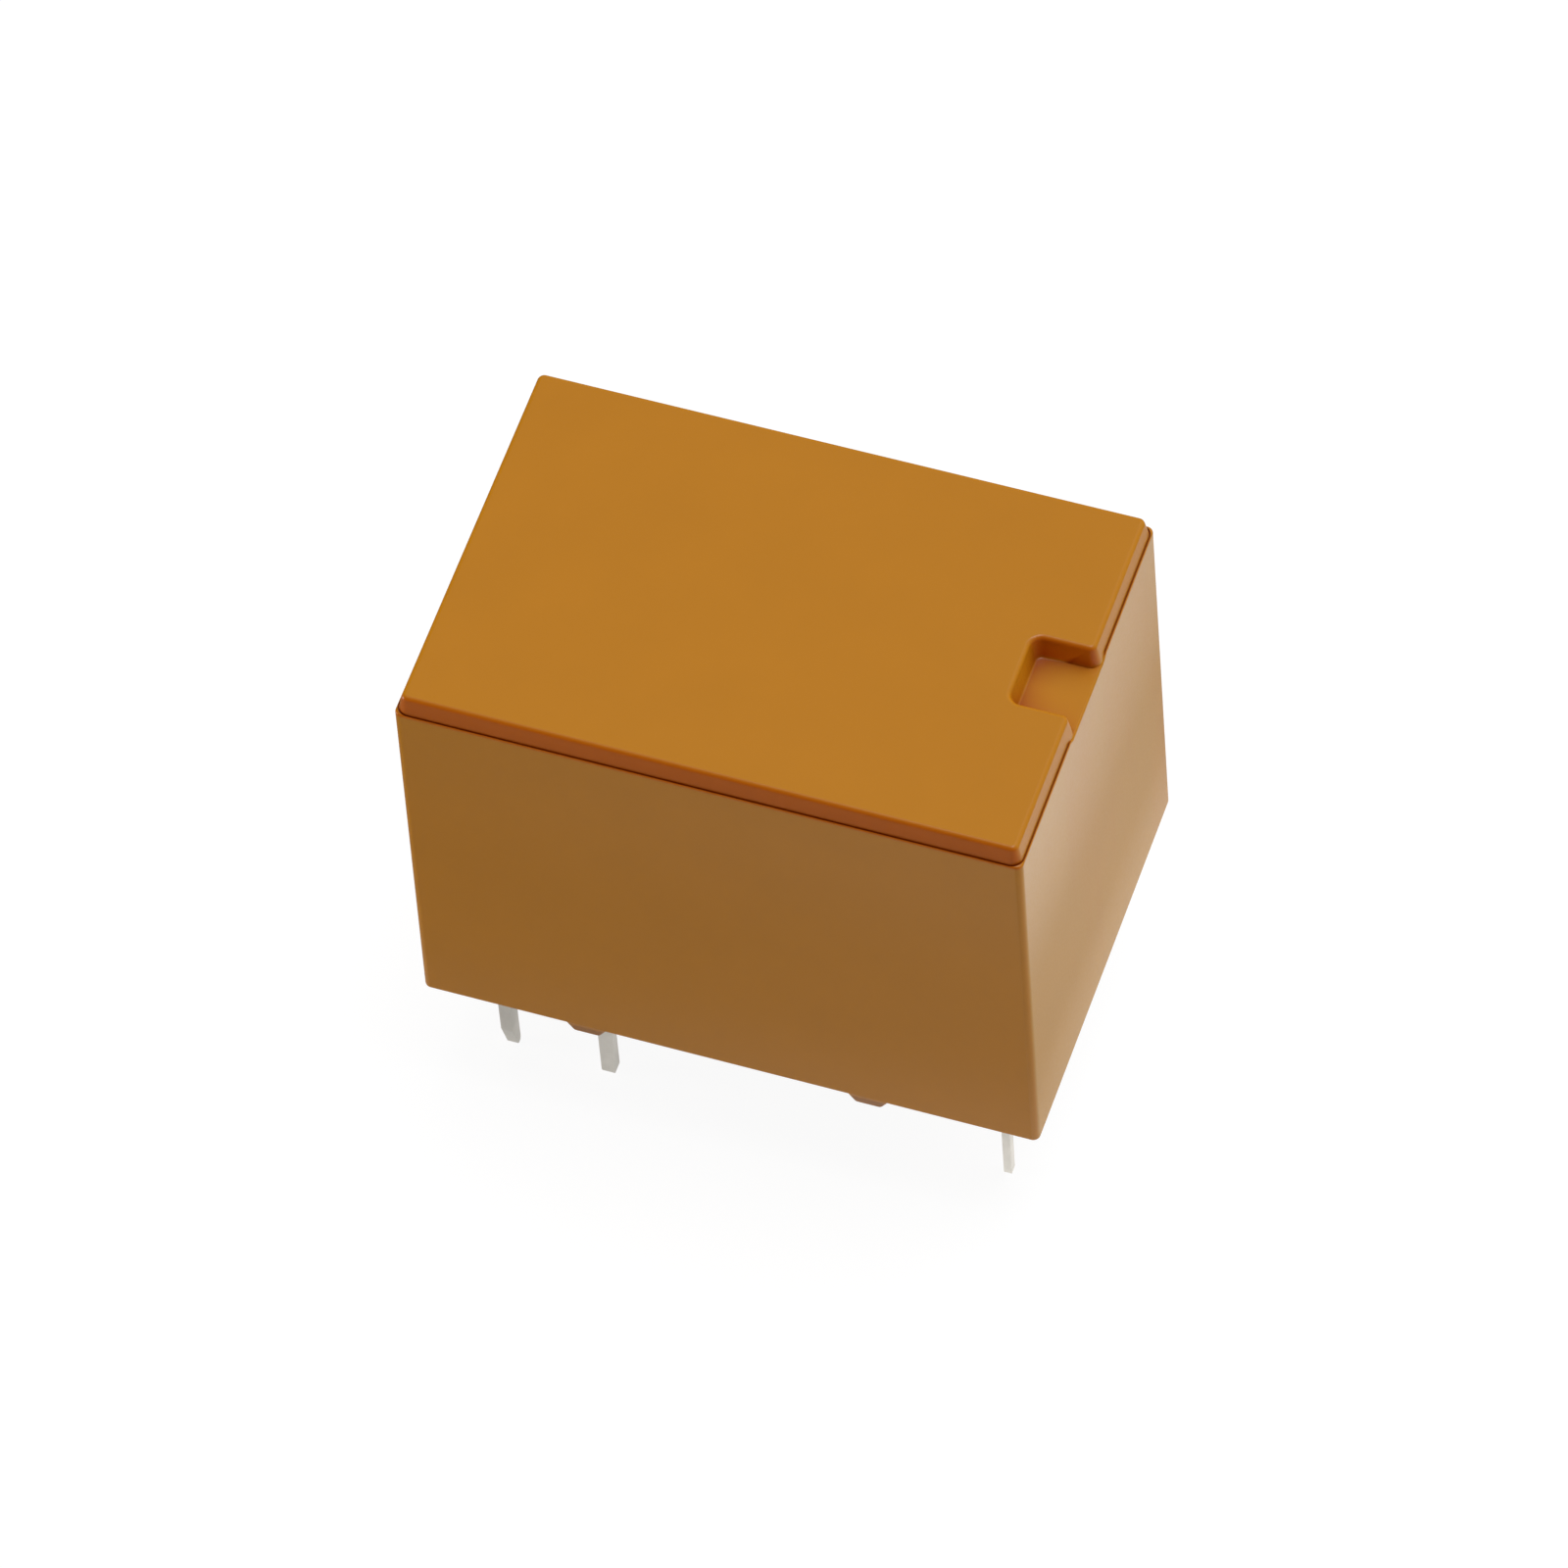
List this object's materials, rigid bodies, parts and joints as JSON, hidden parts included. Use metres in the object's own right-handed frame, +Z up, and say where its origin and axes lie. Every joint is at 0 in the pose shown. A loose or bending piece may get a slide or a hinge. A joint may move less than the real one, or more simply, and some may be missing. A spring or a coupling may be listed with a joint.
{
  "type": "relay",
  "caption": "Miniature sealed circuit-board relay: moulded case with a raised, notched top panel, tinned pins below, and a coil, rocking armature and changeover contact inside.",
  "frame": {"origin": "middle of the case's outline on the board surface, where the feet stand; the pins reach below it", "axes": "+X along the case towards the notch and the contacts, +Y to the back, +Z up from the board"},
  "size_m": [0.0154, 0.0104, 0.0155],
  "materials": {
    "case_plastic": "satin",
    "base_plastic": "matte",
    "epoxy_resin": "gloss",
    "bobbin_plastic": "satin",
    "enamelled_wire": "gloss",
    "coil_film": "gloss",
    "soft_iron": "satin",
    "tinned_metal": "satin",
    "solder": "satin",
    "spring_copper": "satin",
    "contact_silver": "satin"
  },
  "bodies": {
    "housing": {"cover": "case_plastic", "base": "base_plastic", "sealing_resin": "epoxy_resin", "bobbin": "bobbin_plastic", "coil_winding": "enamelled_wire", "coil_tape": "coil_film", "core": "soft_iron", "yoke": "soft_iron", "common_terminal": "tinned_metal", "coil_terminal_front": "tinned_metal", "coil_terminal_back": "tinned_metal", "coil_solder_front": "solder", "coil_solder_back": "solder", "normally_open_terminal": "tinned_metal", "normally_open_contact": "contact_silver", "normally_closed_terminal": "tinned_metal", "normally_closed_contact": "contact_silver"},
    "rocker": {"armature": "soft_iron", "moving_spring": "spring_copper", "moving_contact": "contact_silver"}
  },
  "joints": [
    {"name": "armature_hinge", "type": "hinge", "parent": "housing", "child": "rocker", "pos_m": [-0.0061, 0, 0.0085], "axis": [0, 1, 0], "range_deg": [0, 2.15], "stiffness_Nm_per_rad": 0.01, "springref_deg": -3.44, "deforming": ["moving_spring"]}
  ]
}
